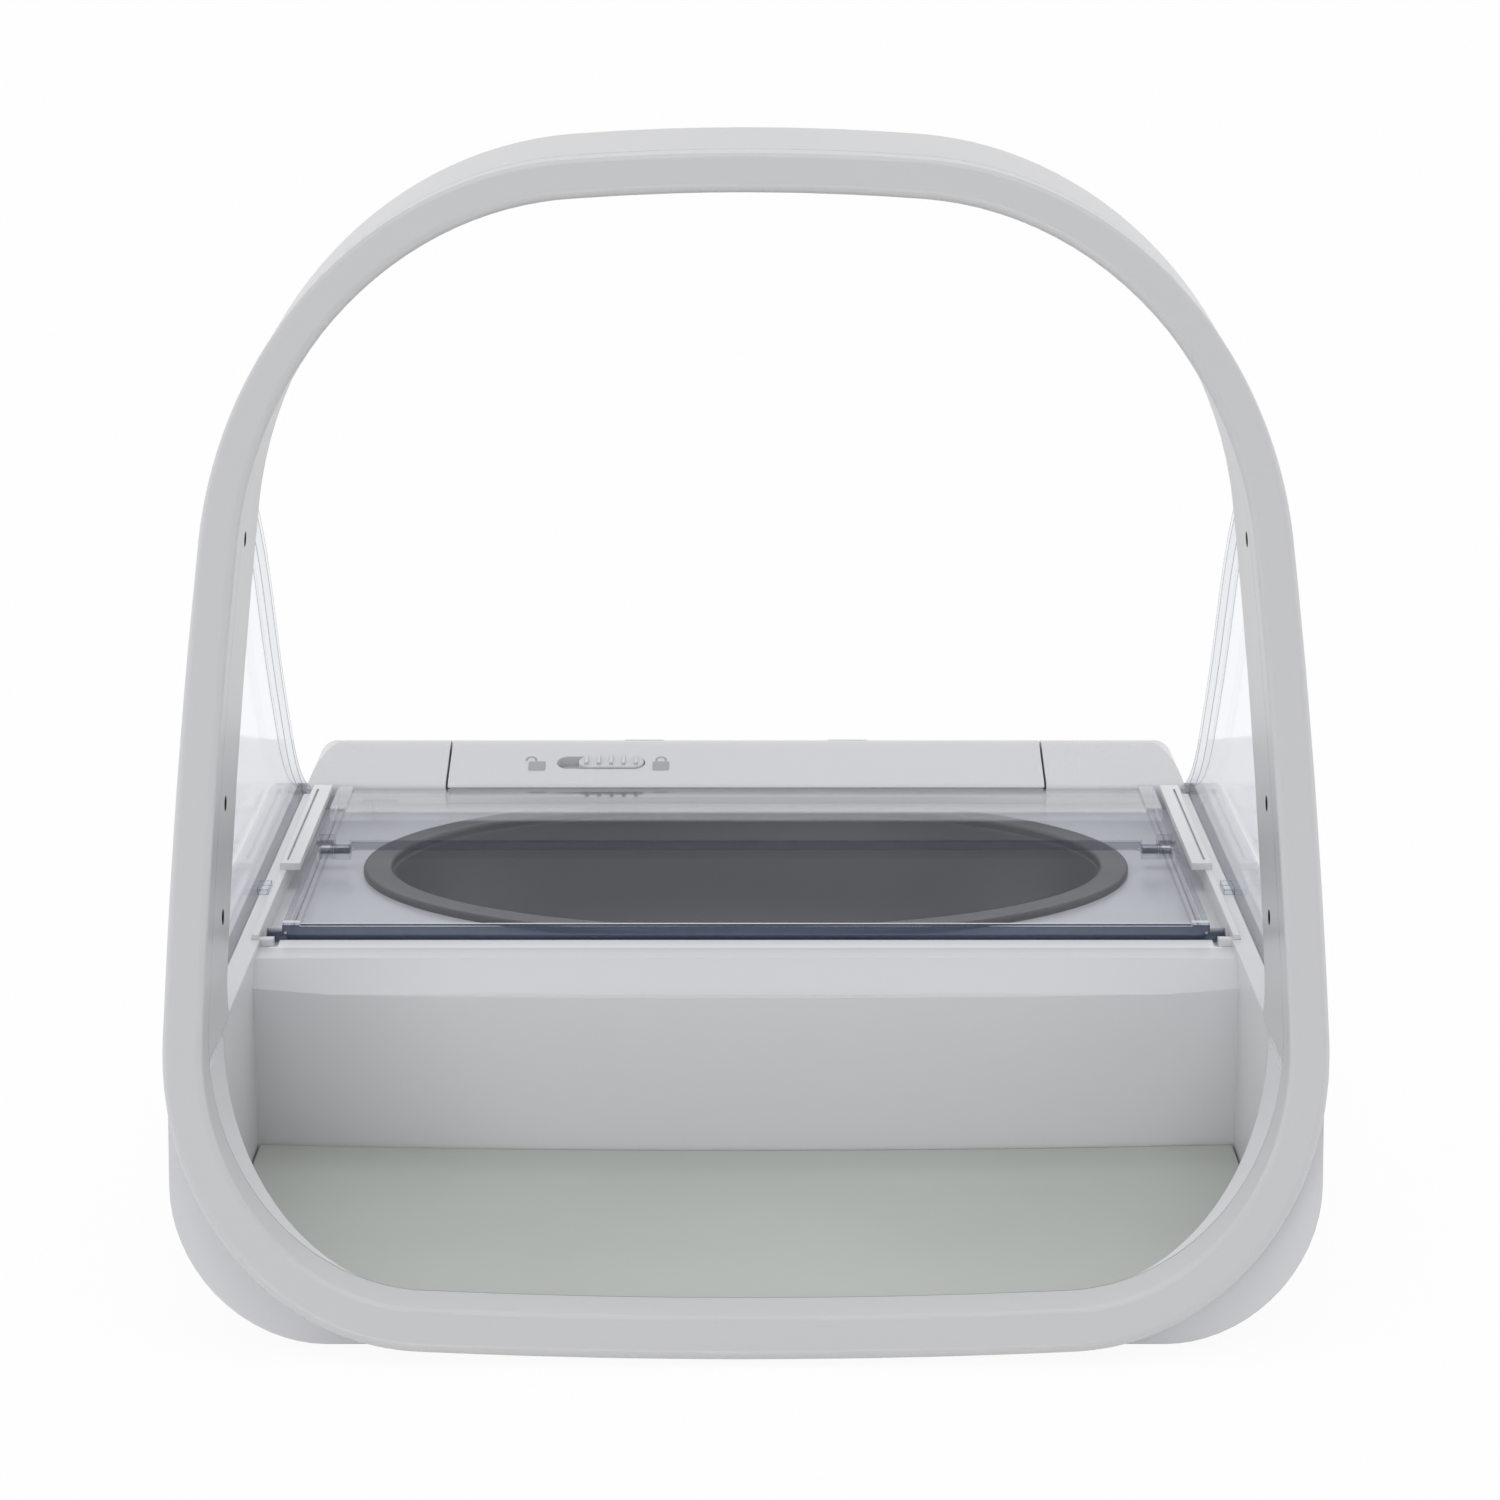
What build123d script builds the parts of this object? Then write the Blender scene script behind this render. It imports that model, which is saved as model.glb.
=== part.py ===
from build123d import *
import math
import os

# Microchip pet feeder: a leaning antenna hoop over a tray base, with a bowl
# under a folding clear lid, and the drive and cells behind it. Millimetres.
# X is across, Z is up, and Y runs from the hoop's foot (0) to the back.

# overall sizes: the width follows from four cells in a row across the back
depth = 318.0
cell_radius = 13.0
cell_length = 50.0
cell_gap = 0.6
side_margin = 12.0
foot_height = 1.0
fit_gap = 0.3
contact_thickness = 0.6
end_wall = 1.8
cell_reach = 2 * cell_length + 1.5 * cell_gap
contact_x = cell_reach + 0.1
wall_x = contact_x + contact_thickness
hatch_half = wall_x + end_wall + 2 * fit_gap
half_width = hatch_half + side_margin

# hoop
lean = 28.0
hoop_top = 211.5
hoop_face = 7.6
cover_depth = 9.0
hoop_depth = 36.0
band_rise = 4.2
hoop_half = half_width - 6.2
toe_radius = 51.2
shoulder_radius = 76.0
bottom_turn = -87.7
side_low = 0.2
side_high = 4.2
top_turn = 85.9
hoop_wall = 2.0
face_round = 1.4

# base
deck_z = 48.0
well_deck_z = deck_z - 5.8
tray_z = 6.0
mat_thickness = 1.5
cheek = 14.0
tray_half = half_width - cheek
tray_front = 12.8
tray_corner = 45.0
tray_bulge = 3.5
rim_z = deck_z - 1.5
rim_bevel = 5.0
shell = 2.5
nose_length = 90.0
nose_narrowing = 10.0
nose_round = 31.0
edge_round = 12.0
top_round = 2.5
hump_round = 6.0
plan_round = 48.0

# bar, lid and drive
back_room = 66.6
axis_y = depth - back_room
axis_z = deck_z - 1.5
bar_radius = 8.5
nose_y = axis_y - 17.4
nose_z = axis_z + 0.5
nose_radius = 2.9
nose_under = axis_z - 2.2
bar_half = half_width - 10.0
cap_length = 34.0
barrel_half = bar_half - cap_length
bar_gap = 0.5
shaft_radius = 3.0
link = 66.7
pivot_y = axis_y - link
lid_pin_y = axis_y - 2 * link
rail_in = tray_half - 3.6
rail_out = tray_half + 1.8
lid_half = rail_in - 0.4
lid_low = axis_z
lid_high = lid_low + 2.0
knuckle_radius = 2.3
knuckle_start = lid_half - 3.4
knuckle_length = 3.6
panel_gap = 1.2
pin_radius = 1.9
pin_reach = rail_out - 2.5
lid_opening = 70.0
tray_back = lid_pin_y - 20.0

# bowl
bowl_y = pivot_y - 0.7
bowl_a = rail_in - 11.0
bowl_b = 56.2
bowl_lip = 4.8
bowl_flange = 1.6
bowl_floor = 12.0
bowl_wall = 1.6

# gears
module = 1.0
pinion_teeth = 12
sector_teeth = 36
gear_x = -barrel_half - 16.5
gear_width = 5.0
motor_radius = 8.0

# power and control
cell_y = depth - 30.0
board_z = deck_z - 15.0
board_thickness = 1.6
button_x = 26.0
button_y = depth - 30.0
button_radius = 5.5
ridge_y = axis_y + 10.6
ridge_z = deck_z + 3.0
tail_y = depth - 12.0
tail_z = deck_z - 8.0

tan_lean = math.tan(math.radians(lean))

os.makedirs("parts", exist_ok=True)


def save(shape, node):
    """Moves a piece to the shared frame and writes it."""
    export_step(Pos(0, -middle_y, 0) * shape, "parts/" + node + ".step")


def block(x0, x1, y0, y1, z0, z1):
    """A box between two corners."""
    box = Box(x1 - x0, y1 - y0, z1 - z0)
    return Pos((x0 + x1) / 2, (y0 + y1) / 2, (z0 + z1) / 2) * box


def rod_x(x0, x1, y, z, radius):
    """A round bar along X."""
    bar = Rot(0, 90, 0) * Cylinder(radius, x1 - x0)
    return Pos((x0 + x1) / 2, y, z) * bar


def post(x, y, z0, z1, radius):
    """An upright round bar."""
    return Pos(x, y, (z0 + z1) / 2) * Cylinder(radius, z1 - z0)


def side_plane(x):
    """A sketch plane across X: its x runs along Y and its y runs up."""
    return Plane(origin=(x, 0, 0), x_dir=(0, 1, 0), z_dir=(1, 0, 0))


def across(sketch, x0, x1):
    """Extrudes a side view from x0 to x1."""
    return extrude(side_plane(x0) * sketch, amount=x1 - x0)


def mirrored(shape):
    """The same shape on the other side."""
    return mirror(shape, about=Plane.YZ)


# ---------------------------------------------------------------- hoop outline
def hoop_arcs():
    """Five tangent arcs on the right side, each with its centre, radius and turns.

    The toe and shoulder radii are given. The long arcs between them follow
    from the hoop's width and height and from the turns where arcs meet.
    """
    low, start, end, top = [math.radians(a) for a in (bottom_turn, side_low, side_high, top_turn)]
    toe_x = hoop_half - toe_radius
    bottom_radius = toe_radius + toe_x / math.cos(low)
    toe_z = foot_height + bottom_radius + (bottom_radius - toe_radius) * math.sin(low)
    rise = math.sin(end) - math.sin(start)
    run = math.cos(end) - math.cos(start)
    x0 = toe_x + toe_radius * math.cos(start) - shoulder_radius * math.cos(end)
    z0 = toe_z + toe_radius * math.sin(start) - shoulder_radius * math.sin(end)
    k = (1 - math.sin(top)) / math.cos(top)
    side_radius = (hoop_top - shoulder_radius - z0 - k * x0) / (rise + k * run)
    shoulder_x = x0 + side_radius * run
    shoulder_z = z0 + side_radius * rise
    top_radius = shoulder_radius + shoulder_x / math.cos(top)
    side_x = toe_x + (toe_radius - side_radius) * math.cos(start)
    side_z = toe_z + (toe_radius - side_radius) * math.sin(start)
    top_z = shoulder_z + (shoulder_radius - top_radius) * math.sin(top)
    return [
        (0.0, foot_height + bottom_radius, bottom_radius, -90.0, bottom_turn),
        (toe_x, toe_z, toe_radius, bottom_turn, side_low),
        (side_x, side_z, side_radius, side_low, side_high),
        (shoulder_x, shoulder_z, shoulder_radius, side_high, top_turn),
        (0.0, top_z, top_radius, top_turn, 90.0),
    ]


def hoop_outline(inset):
    """The hoop's outline on its leaning plane, moved inwards by inset."""
    stretch = 1 / math.cos(math.radians(lean))
    right = []
    for x, z, radius, start, end in hoop_arcs():
        r = radius - inset
        right.append(EllipticalCenterArc((x, z * stretch), r, r * stretch, start, arc_size=end - start))
    left = [mirror(edge, about=Plane.YZ) for edge in right]
    return make_face(right + left)


def outline_half(z):
    """Half the hoop's outer width at a height."""
    for x, centre_z, radius, start, end in hoop_arcs():
        low = centre_z + radius * math.sin(math.radians(start))
        high = centre_z + radius * math.sin(math.radians(end))
        if low <= z <= high:
            return x + math.sqrt(radius**2 - (z - centre_z) ** 2)


def leaning(sketch, offset):
    """Puts a sketch on the leaning plane, offset to the back."""
    up = math.radians(lean)
    plane = Plane(
        origin=(0, offset, 0),
        x_dir=(1, 0, 0),
        z_dir=(0, -math.cos(up), math.sin(up)),
    )
    return plane * sketch


def tunnel(inset, start, length, rise=0.0):
    """The hoop outline carried backwards from start over length."""
    angle = math.radians(rise)
    path = (0, math.cos(angle), math.sin(angle))
    return extrude(leaning(hoop_outline(inset), start), amount=length, dir=path)


def behind_lean(offset):
    """The space behind the leaning plane at an offset."""
    side = Polyline(
        (offset - 50 * tan_lean, -50),
        (offset + 300 * tan_lean, 300),
        (700, 300),
        (700, -50),
        close=True,
    )
    return across(make_face(side), -200, 200)


# ------------------------------------------------------------------ front cover
cover = tunnel(0, 0, cover_depth) - tunnel(hoop_face, -1, cover_depth + 2)
front_edges = cover.faces().sort_by(lambda f: f.center().Y - tan_lean * f.center().Z)
cover = fillet(front_edges[0].edges(), face_round)
middle_y = (cover.bounding_box().min.Y + depth) / 2
skin = hoop_wall + 1.0
groove = tunnel(hoop_wall, skin, cover_depth)
groove = groove - tunnel(hoop_face - hoop_wall, skin - 0.5, cover_depth + 1)
cover = cover - groove
save(cover, "hoop_front_cover")

coil = tunnel(hoop_wall + fit_gap, skin, 4.0)
coil = coil - tunnel(hoop_face - hoop_wall - fit_gap, skin - 0.5, 5.0)
save(coil, "antenna_coil")

# --------------------------------------------------------------- rear housing
above_deck = block(-150, 150, -50, 300, deck_z, 260)
band_length = hoop_depth - cover_depth
hoop_back = tunnel(0, cover_depth, band_length, band_rise)
hoop_back = hoop_back - tunnel(hoop_face, cover_depth - 1, band_length + 2, band_rise)
duct = tunnel(hoop_wall, cover_depth - 1, band_length - 1, band_rise)
duct = duct - tunnel(hoop_face - hoop_wall, cover_depth - 2, band_length + 2, band_rise)
hoop_back = (hoop_back - duct) & above_deck
eye_z = [138.0, 90.0, 68.5]
eye_offset = [15.0, 18.0, 24.0]


eyes = [(outline_half(z), z * tan_lean + off, z) for z, off in zip(eye_z, eye_offset)]
for x, y, z in eyes:
    hole = rod_x(x - hoop_face - 2, x - hoop_face + 3.2, y, z, 1.5)
    hoop_back = hoop_back - hole - mirrored(hole)
save(hoop_back, "hoop_rear_housing")

emitters = Part()
for x, y, z in eyes:
    inner = x - hoop_face + hoop_wall + 0.4
    emitters += rod_x(inner, inner + 2.2, y, z, 1.9) + rod_x(inner - 2.0, inner, y, z, 1.2)
save(mirrored(emitters), "light_emitters")
save(emitters, "light_receivers")


# ----------------------------------------------------------------------- base
def teardrop(grow):
    """The bar's section: round at the shaft with a nose to the front."""
    c1 = Vector(axis_y, axis_z)
    c2 = Vector(nose_y, nose_z)
    span = c2 - c1
    length = math.hypot(span.X, span.Y)
    r1 = bar_radius + grow
    r2 = nose_radius + grow
    heading = math.atan2(span.Y, span.X)
    beta = math.acos((r1 - r2) / length)
    corners = []
    for centre, radius, sign in ((c1, r1, 1), (c2, r2, 1), (c2, r2, -1), (c1, r1, -1)):
        a = heading + sign * beta
        corners.append((centre.X + radius * math.cos(a), centre.Y + radius * math.sin(a)))
    web = make_face(Polyline(corners + [corners[0]]))
    under = Pos(c1.X - 20, nose_under - grow - 10) * Rectangle(40, 20)
    nose = web + Pos(c2.X, c2.Y) * Circle(r2) - under
    return nose + Pos(c1.X, c1.Y) * Circle(r1)


def cross_section(y, half, radius, inset, top):
    """One upright section of the base across X."""
    low = foot_height + inset
    w = half - inset
    r = max(radius - inset, 2.0)
    k = r * (1 - math.sqrt(0.5))
    whole = make_face(
        [
            Line((-w + r, low), (w - r, low)),
            ThreePointArc((w - r, low), (w - k, low + k), (w, low + r)),
            Line((w, low + r), (w, top)),
            Line((w, top), (-w, top)),
            Line((-w, top), (-w, low + r)),
            ThreePointArc((-w, low + r), (-w + k, low + k), (-w + r, low)),
        ]
    )
    plane = Plane(origin=(0, y, 0), x_dir=(1, 0, 0), z_dir=(0, -1, 0))
    return plane * whole


def base_envelope(inset):
    """The base seen from above and from the front, shrunk by a wall."""
    top = deck_z + 12
    narrow = cross_section(0, half_width - nose_narrowing, nose_round, inset, top)
    wide = cross_section(nose_length, half_width, edge_round, inset, top)
    body = loft([narrow, wide]) + extrude(wide, amount=-(depth - nose_length))
    plan = block(-half_width + inset, half_width - inset, -60, depth - inset, -5, 80)
    plan = fillet(plan.edges().filter_by(Axis.Z).group_by(Axis.Y)[-1], plan_round - inset)
    return body & plan


deck_end = ridge_y - 24.0
hump_drop = (ridge_z - tail_z) / (tail_y - ridge_y)
shoulder_drop = 0.28
hump_half = bar_half


def side_view(inset, brow_y, brow_z, drop):
    """The base from the side: a flat deck, then a slope down to the back."""
    low = foot_height + inset
    top = deck_z - inset
    r = edge_round - inset
    k = r * (1 - math.sqrt(0.5))
    back = depth - inset
    end_y = tail_y - 4
    end_z = brow_z - inset - drop * (end_y - brow_y)
    edges = [
        Line((-60, low), (back - r, low)),
        ThreePointArc((back - r, low), (back - k, low + k), (back, low + r)),
        Line((back, low + r), (back, end_z - 11)),
        ThreePointArc((back, end_z - 11), (back - 3.5, end_z - 4.4), (end_y, end_z)),
        Line((end_y, end_z), (brow_y, brow_z - inset)),
    ]
    if brow_y > deck_end:
        crest = (brow_y - 12, brow_z - 0.1 - inset)
        edges.append(ThreePointArc((brow_y, brow_z - inset), crest, (deck_end, top)))
    edges += [Line((deck_end, top), (-60, top)), Line((-60, top), (-60, low))]
    return make_face(edges)


def low_form(inset):
    """The whole base with its sloping rear shoulders."""
    return base_envelope(inset) & across(side_view(inset, deck_end, deck_z, shoulder_drop), -130, 130)


def hump_form(inset):
    """The raised housing behind the bar, as wide as the bar, with rounded ends."""
    half = hump_half - inset
    form = across(side_view(inset, ridge_y, ridge_z, hump_drop), -half, half)
    ends = []
    for edge in form.edges():
        middle = edge.center()
        if abs(abs(middle.X) - half) < 0.1 and middle.Y > 0 and middle.Z > edge_round * 2:
            ends.append(edge)
    form = fillet(ends, hump_round - inset)
    return base_envelope(inset) & form & block(-130, 130, deck_end, depth + 5, 0, 80)


def soften(form, radius):
    """Rounds the top edges that run round the outside."""
    chosen = []
    for edge in form.edges():
        box = edge.bounding_box()
        is_top = box.min.Z > edge_round + 5 and box.max.Z - box.min.Z < 20
        if is_top and box.max.X - box.min.X < half_width:
            chosen.append(edge)
    return fillet(chosen, radius)


outer = soften(low_form(0), top_round) + hump_form(0)
base = outer & behind_lean(cover_depth)

# tray: a rounded floor between the cheeks, open to the hoop
def tray_plan(gap):
    """The tray's plan, rounded towards the hoop and bowed at the step."""
    w = tray_half - gap
    y0 = tray_front + gap
    y1 = tray_back - gap
    r = tray_corner - gap
    k = r * (1 - math.sqrt(0.5))
    edges = [
        Line((-w + r, y0), (w - r, y0)),
        ThreePointArc((w - r, y0), (w - k, y0 + k), (w, y0 + r)),
        Line((w, y0 + r), (w, y1)),
        ThreePointArc((w, y1), (0, y1 - tray_bulge), (-w, y1)),
        Line((-w, y1), (-w, y0 + r)),
        ThreePointArc((-w, y0 + r), (-w + k, y0 + k), (-w + r, y0)),
    ]
    return make_face(edges)


tray = extrude(Pos(0, 0, tray_z) * tray_plan(0), amount=60)
mouth = tunnel(hoop_face, cover_depth - 1, 24)
base = base - tray - mouth

# well deck, lowered between the side rails and behind the rim
rim_back = lid_pin_y - 2.3
base = base - block(-rail_in, rail_in, rim_back, axis_y, well_deck_z, 80)
base = base - block(-200, 200, -10, rim_back + 4, rim_z, 49)
side_keep = outer & block(-200, 200, -10, rim_back + 4, rim_z - 1, 60)
side_keep = side_keep & behind_lean(cover_depth)
side_keep = side_keep - block(-tray_half, tray_half, -10, rim_back + 4, 0, 80) - mouth
base = base + side_keep
bevel = Polyline((tray_back - 12, rim_z + 1), (tray_back + rim_bevel, rim_z + 1),
                 (tray_back + rim_bevel, rim_z), (tray_back - 1, rim_z - rim_bevel - 1),
                 (tray_back - 12, rim_z - rim_bevel - 1), close=True)
base = base - (across(make_face(bevel), -tray_half, tray_half))

# bowl well
well_a = bowl_a - 3.0
well_b = bowl_b - 3.0
well = extrude(Pos(0, bowl_y, 9.5) * Ellipse(well_a, well_b), amount=60)
well_wall = extrude(Pos(0, bowl_y, 7.0) * Ellipse(well_a + shell, well_b + shell), amount=60)
base = base - well

# hollow under the deck and round the drive
inner = (low_form(shell) + hump_form(shell)) & block(-200, 200, tray_back + 6, depth, 0, 80)
roof_side = block(-200, 200, 0, axis_y + 11, deck_z - 10, 90)
trough_cover = rod_x(-200, 200, axis_y, axis_z, bar_radius + 0.6 + shell)
slab = block(-200, 200, axis_y - 11.6, axis_y + 11.6, axis_z - 2, 90)
hollow = inner - roof_side - trough_cover - slab - well_wall
hatch_front = tray_back + 6.0
hatch_back = depth - 13.0
hatch_z = 4.0
base = base - hollow - block(-hatch_half, hatch_half, hatch_front, hatch_back, -1, hatch_z + 0.5)

# trough for the bar
trough = across(teardrop(bar_gap), -barrel_half - bar_gap, barrel_half + bar_gap)
seat = across(teardrop(0), -bar_half, bar_half)
nose_room = block(-bar_half - fit_gap, bar_half + fit_gap, nose_y - 6, axis_y, well_deck_z, 80)
base = base - trough - seat - nose_room

# room for the toothed sector
gear_side = gear_width / 2 + 1.7
sector_tip = module * sector_teeth / 2 + 0.85
gear_room = rod_x(gear_x - gear_side, gear_x + gear_side, axis_y, axis_z, sector_tip + 1.05)
gear_room = gear_room & block(-150, 0, axis_y - 50, axis_y + 50, 0, axis_z - 0.4)
base = base - gear_room

# pockets for the guide rails and grooves for the side screens
rail_front = lid_pin_y - 7.0
rail_back = axis_y - 23.8
rail_floor = well_deck_z - 0.2
pocket = block(rail_in, rail_out, rail_front, rail_back, rail_floor, 80)
base = base - pocket - mirrored(pocket)
screen_in = 3.2
screen_out = 0.8
screen_foot = deck_z - 3.5
screen_groove = tunnel(screen_out, 30, 260) - tunnel(screen_in, 29, 262)
screen_groove = screen_groove & block(-150, 150, 40, axis_y - 11.1, screen_foot, 80)
screen_groove = screen_groove & behind_lean(hoop_depth - 0.4)
base = base - screen_groove

# motor wall, screw bosses, button holes and foot pockets
motor_z = axis_z - module * (pinion_teeth + sector_teeth) / 2
wall_in = gear_x + 4.5
wall_out = wall_in + 2.5
motor_wall = block(wall_in, wall_out, axis_y - 10.4, axis_y + 11.6, hatch_z + 0.5, deck_z - 10)
base = base + motor_wall
base = base - rod_x(wall_in - 2, wall_out + 1.5, axis_y, motor_z, 3.6)
boss_xy = [
    (hatch_half - 6, hatch_front + 8),
    (hatch_half - 6, axis_y - 4.4),
    (hatch_half - 49, hatch_front + 8),
    (hatch_half - 32, axis_y + 15.1),
]
boss_tops = [deck_z - 9, deck_z - 11.5, deck_z - 7, deck_z]
for (bx, by), top_z in zip(boss_xy, boss_tops):
    for sx in (1, -1):
        base = base + post(sx * bx, by, hatch_z + 0.5, top_z, 3.4)
        base = base - post(sx * bx, by, 0, 16.0, 1.25)
slope = math.atan2(ridge_z - tail_z, tail_y - ridge_y)
button_plane_z = ridge_z - (button_y - ridge_y) * math.tan(slope)


def on_slope(x):
    """The frame of a button on the sloping back, with Z out of the surface."""
    tilt = -math.degrees(slope)
    return Pos(x, button_y, button_plane_z) * Rot(tilt, 0, 0)


button_xs = [-button_x, button_x]
for x in button_xs:
    base = base - on_slope(x) * Cylinder(button_radius + 0.4, 12)
board_half = 60.0
board_front = ridge_y + 2.5
board_back = depth - 20.0
board_posts = []
for by in (board_front + 3.5, board_back - 4):
    board_posts += [(6 - board_half, by), (board_half - 6, by)]
for bx, by in board_posts:
    stem = post(bx, by, board_z + board_thickness, deck_z + 12, 2.8) & outer
    base = base + stem
    base = base - post(bx, by, board_z - 1, board_z + 5.0, 0.9)
foot_radius = 8.0
front_foot = post(tray_half - 40, 30, 0, foot_height + 1.6, foot_radius)
base = base - front_foot - mirrored(front_foot)
end_walls = block(wall_x, wall_x + end_wall, cell_y - 12, cell_y + 12, hatch_z + 0.5, deck_z + 12) & outer
base = base + end_walls + mirrored(end_walls)
save(base, "base_shell")

# ---------------------------------------------------------------- bottom cover
plate = block(-hatch_half + fit_gap, hatch_half - fit_gap, hatch_front + fit_gap,
              hatch_back - fit_gap, foot_height + 0.6, hatch_z)
plate = fillet(plate.edges().filter_by(Axis.Z), 5.0)
door_y0 = cell_y - 15.5
door_y1 = cell_y + 13.5
door_x1 = hatch_half - 3.0
door_hole = block(1.5, door_x1, door_y0, door_y1, 0, 10)
plate = plate - door_hole - mirrored(door_hole)
rear_foot = post(hatch_half - 11, axis_y + 10.6, 0, foot_height + 1.6, foot_radius)
plate = plate - rear_foot - mirrored(rear_foot)
for bx, by in boss_xy:
    for sx in (1, -1):
        plate = plate - post(sx * bx, by, 0, 10, 1.7)
        plate = plate - post(sx * bx, by, 0, 2.8, 3.2)
rib_count = 7
rib_pitch = (nose_y - lid_pin_y) / (rib_count - 1)
for i in range(rib_count):
    rib_y = hatch_front + 16 + rib_pitch * i
    plate = plate + block(-80, 80, rib_y, rib_y + 1.6, hatch_z - 0.1, hatch_z + 1.8)
save(plate, "bottom_cover")

foot = front_foot + rear_foot
feet = foot + mirrored(foot)
save(feet, "rubber_feet")

door = block(1.5 + fit_gap, door_x1 - fit_gap, door_y0 + fit_gap, door_y1 - fit_gap,
             foot_height + 0.6, hatch_z - 0.4)
for i in range(4):
    grip_x = door_x1 - 17 + 3 * i
    door = door - block(grip_x, grip_x + 1.4, door_y0 + 6, door_y1 - 6, 0, foot_height + 1.1)
save(door, "battery_cover_right")
save(mirrored(door), "battery_cover_left")

screws = Part()
for bx, by in boss_xy:
    screw = post(bx, by, 1.8, 2.8, 2.8) + post(bx, by, 2.8, 12.0, 1.25)
    screw = screw - post(bx, by, 1.5, 2.2, 0.9)
    screws += screw + mirrored(screw)
save(screws, "base_screws")

# ----------------------------------------------------------------- tray and bowl
mat = extrude(Pos(0, 0, tray_z) * tray_plan(fit_gap), amount=mat_thickness)
mat = fillet(mat.faces().sort_by(Axis.Z)[-1].edges(), 0.5)
save(mat, "feeding_mat")

flange = extrude(Pos(0, bowl_y, well_deck_z) * Ellipse(bowl_a, bowl_b), amount=bowl_flange)
levels = [
    (bowl_floor, 25.0),
    (bowl_floor + 2.5, 19.0),
    (bowl_floor + 9, 12.5),
    (well_deck_z + 0.2, bowl_lip),
]


def bowl_solid(inset, lift):
    """The bowl's curved body, shrunk by a wall."""
    rings = []
    for z, cut in levels:
        rings.append(Pos(0, bowl_y, z + lift) * Ellipse(bowl_a - cut - inset, bowl_b - cut - inset))
    return loft(rings)


bowl_outer = bowl_solid(0, 0)
bowl_inner = bowl_solid(bowl_wall, bowl_wall)
mouth_edge = bowl_lip + bowl_wall
mouth_cut = Pos(0, bowl_y, well_deck_z - 0.5) * Ellipse(bowl_a - mouth_edge, bowl_b - mouth_edge)
mouth_cut = extrude(mouth_cut, amount=8)
bowl = flange + bowl_outer - bowl_inner - mouth_cut
bowl = fillet(bowl.faces().sort_by(Axis.Z)[-1].edges(), 0.6)
save(bowl, "bowl")

# ------------------------------------------------------------------ guide rails
rail_start = rail_front + 0.1
rail_end = rail_back - 0.1
rail_side = rail_out - 0.1
strip_start = pivot_y - 24.7
rail = block(rail_in + 0.1, rail_side, rail_start, rail_end, rail_floor, axis_z - pin_radius - fit_gap)
rail = rail + block(rail_side - 1.5, rail_side, rail_start, rail_end, rail_floor, deck_z + 1)
rail = rail + block(rail_in + 0.8, rail_side, strip_start, rail_end, deck_z + 0.8, deck_z + 2.4)
strip_slit = block(rail_side - 1.7, rail_side - 1.2, strip_start + 3, rail_end - 4, deck_z + 1.6, deck_z + 3)
rail = rail - strip_slit
rail = rail + block(rail_in + 0.8, rail_side, rail_start, rail_start + 2.3, rail_floor, deck_z)
save(rail, "guide_rail_right")
save(mirrored(rail), "guide_rail_left")

# ----------------------------------------------------------------- side screens
edge_reach = [11.9, 30.4, 44.4, 55.4, 66.9, 79.4, 93.4, 111.4, 135.4]
edge_height = [0.5, 7.0, 16.5, 28.0, 40.5, 54.5, 69.5, 84.5, 99.5]
edge_points = [(axis_y - back, axis_z + up) for back, up in zip(edge_reach, edge_height)]


def screen_region(shrink):
    """The side view of a screen, from its groove to its free edge."""
    curve = Spline([(y - shrink, z - 0.6 * shrink) for y, z in edge_points])
    start = curve @ 0
    end = curve @ 1
    foot_y = screen_foot * tan_lean + hoop_depth
    lip_y = end.Y * tan_lean + hoop_depth
    lines = [
        curve,
        Line((end.X, end.Y), (lip_y, end.Y)),
        Line((lip_y, end.Y), (foot_y, screen_foot)),
        Line((foot_y, screen_foot), (start.X, screen_foot)),
        Line((start.X, screen_foot), (start.X, start.Y)),
    ]
    return make_face(lines)


screen_band = tunnel(1.0, 20, 260) - tunnel(3.0, 19, 262)
flange_band = tunnel(1.0, 20, 260) - tunnel(4.6, 19, 262)
screen_shape = across(screen_region(0), 60, 150)
rim_shape = across(screen_region(0), 60, 150) - across(screen_region(1.8), 50, 160)
rim_shape = rim_shape & block(60, 150, 0, 300, deck_z + 0.3, 300)
rim_shape = rim_shape & behind_lean(hoop_depth + 3)
screen = (screen_band & screen_shape) + (flange_band & rim_shape)
screen = screen - block(bar_half - 10, bar_half + 0.4, nose_y - 3.6, axis_y + 10, deck_z - 8, deck_z + 22)
tab_front = strip_start - 17
screen = screen + block(
    rail_out + 0.4, outline_half(deck_z) - 1.5, tab_front, tab_front + 7, deck_z + 0.2, deck_z + 1.4
)
save(screen, "side_screen_right")
save(mirrored(screen), "side_screen_left")


# ------------------------------------------------------------------- hinge bar
barrel = across(teardrop(0), -barrel_half, barrel_half)
barrel = barrel - rod_x(-bar_half, bar_half, axis_y, axis_z, shaft_radius)
panel_tail = nose_y + 2.0
barrel = barrel - block(-bar_half, bar_half, nose_y - 14, panel_tail, lid_low, lid_high)
line_half = barrel_half - 14
line_slot = block(-line_half, line_half, nose_y - 6, nose_y - 2.3, nose_z - 1.9, nose_z - 1.0)
barrel = barrel - line_slot

top_slope = math.asin((bar_radius - nose_radius) / math.hypot(axis_y - nose_y, nose_z - axis_z))
top_slope = top_slope - math.atan2(nose_z - axis_z, axis_y - nose_y)
slot_y = axis_y - 10.2
slot_z = axis_z + bar_radius / math.cos(top_slope) - (axis_y - slot_y) * math.tan(top_slope)
lock_travel = 5.0
knob_length = 15.8
slot_x1 = -24.6
slot_x0 = slot_x1 - knob_length - lock_travel - 2 * fit_gap
slot_width = 5.6
slot_depth = 2.6


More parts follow.
